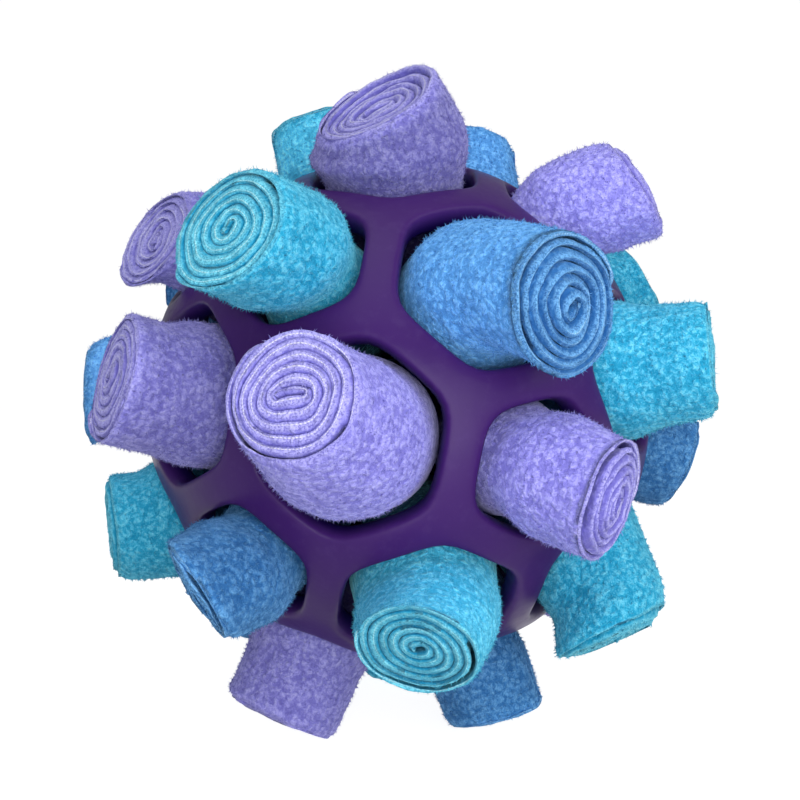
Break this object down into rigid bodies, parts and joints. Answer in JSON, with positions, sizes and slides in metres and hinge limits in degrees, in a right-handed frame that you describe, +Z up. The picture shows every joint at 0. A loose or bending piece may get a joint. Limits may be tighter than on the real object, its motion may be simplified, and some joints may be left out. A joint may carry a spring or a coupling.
{
  "type": "dog snuffle ball",
  "caption": "Soft rubber lattice ball with a rolled strip of fleece pushed through every opening, for hiding dry treats that a dog sniffs out.",
  "frame": {"origin": "on the surface that the ball stands on, under the middle of its box", "axes": "+Z up, -Y towards the side that the picture shows, +X to the right in the picture"},
  "size_m": [0.1516, 0.1576, 0.149],
  "materials": {
    "rubber": "satin moulded rubber, dark purple",
    "lilac": "matte curled fleece pile, lilac",
    "turquoise": "matte curled fleece pile, turquoise",
    "blue": "matte curled fleece pile, blue"
  },
  "bodies": {
    "root": {"lattice_ball": "rubber", "roll_hex_00": "lilac", "roll_hex_01": "blue", "roll_hex_02": "lilac", "roll_hex_03": "lilac", "roll_hex_04": "lilac", "roll_hex_05": "turquoise", "roll_hex_06": "turquoise", "roll_hex_07": "turquoise", "roll_hex_08": "turquoise", "roll_hex_09": "lilac", "roll_hex_10": "turquoise", "roll_hex_11": "lilac", "roll_hex_12": "turquoise", "roll_hex_13": "turquoise", "roll_hex_14": "turquoise", "roll_hex_15": "turquoise", "roll_hex_16": "blue", "roll_hex_17": "blue", "roll_hex_18": "turquoise", "roll_hex_19": "blue", "roll_pent_00": "turquoise", "roll_pent_01": "lilac", "roll_pent_02": "blue", "roll_pent_03": "blue", "roll_pent_04": "blue", "roll_pent_05": "turquoise", "roll_pent_06": "blue", "roll_pent_07": "lilac", "roll_pent_08": "blue", "roll_pent_09": "lilac", "roll_pent_10": "lilac", "roll_pent_11": "lilac"}
  },
  "joints": []
}
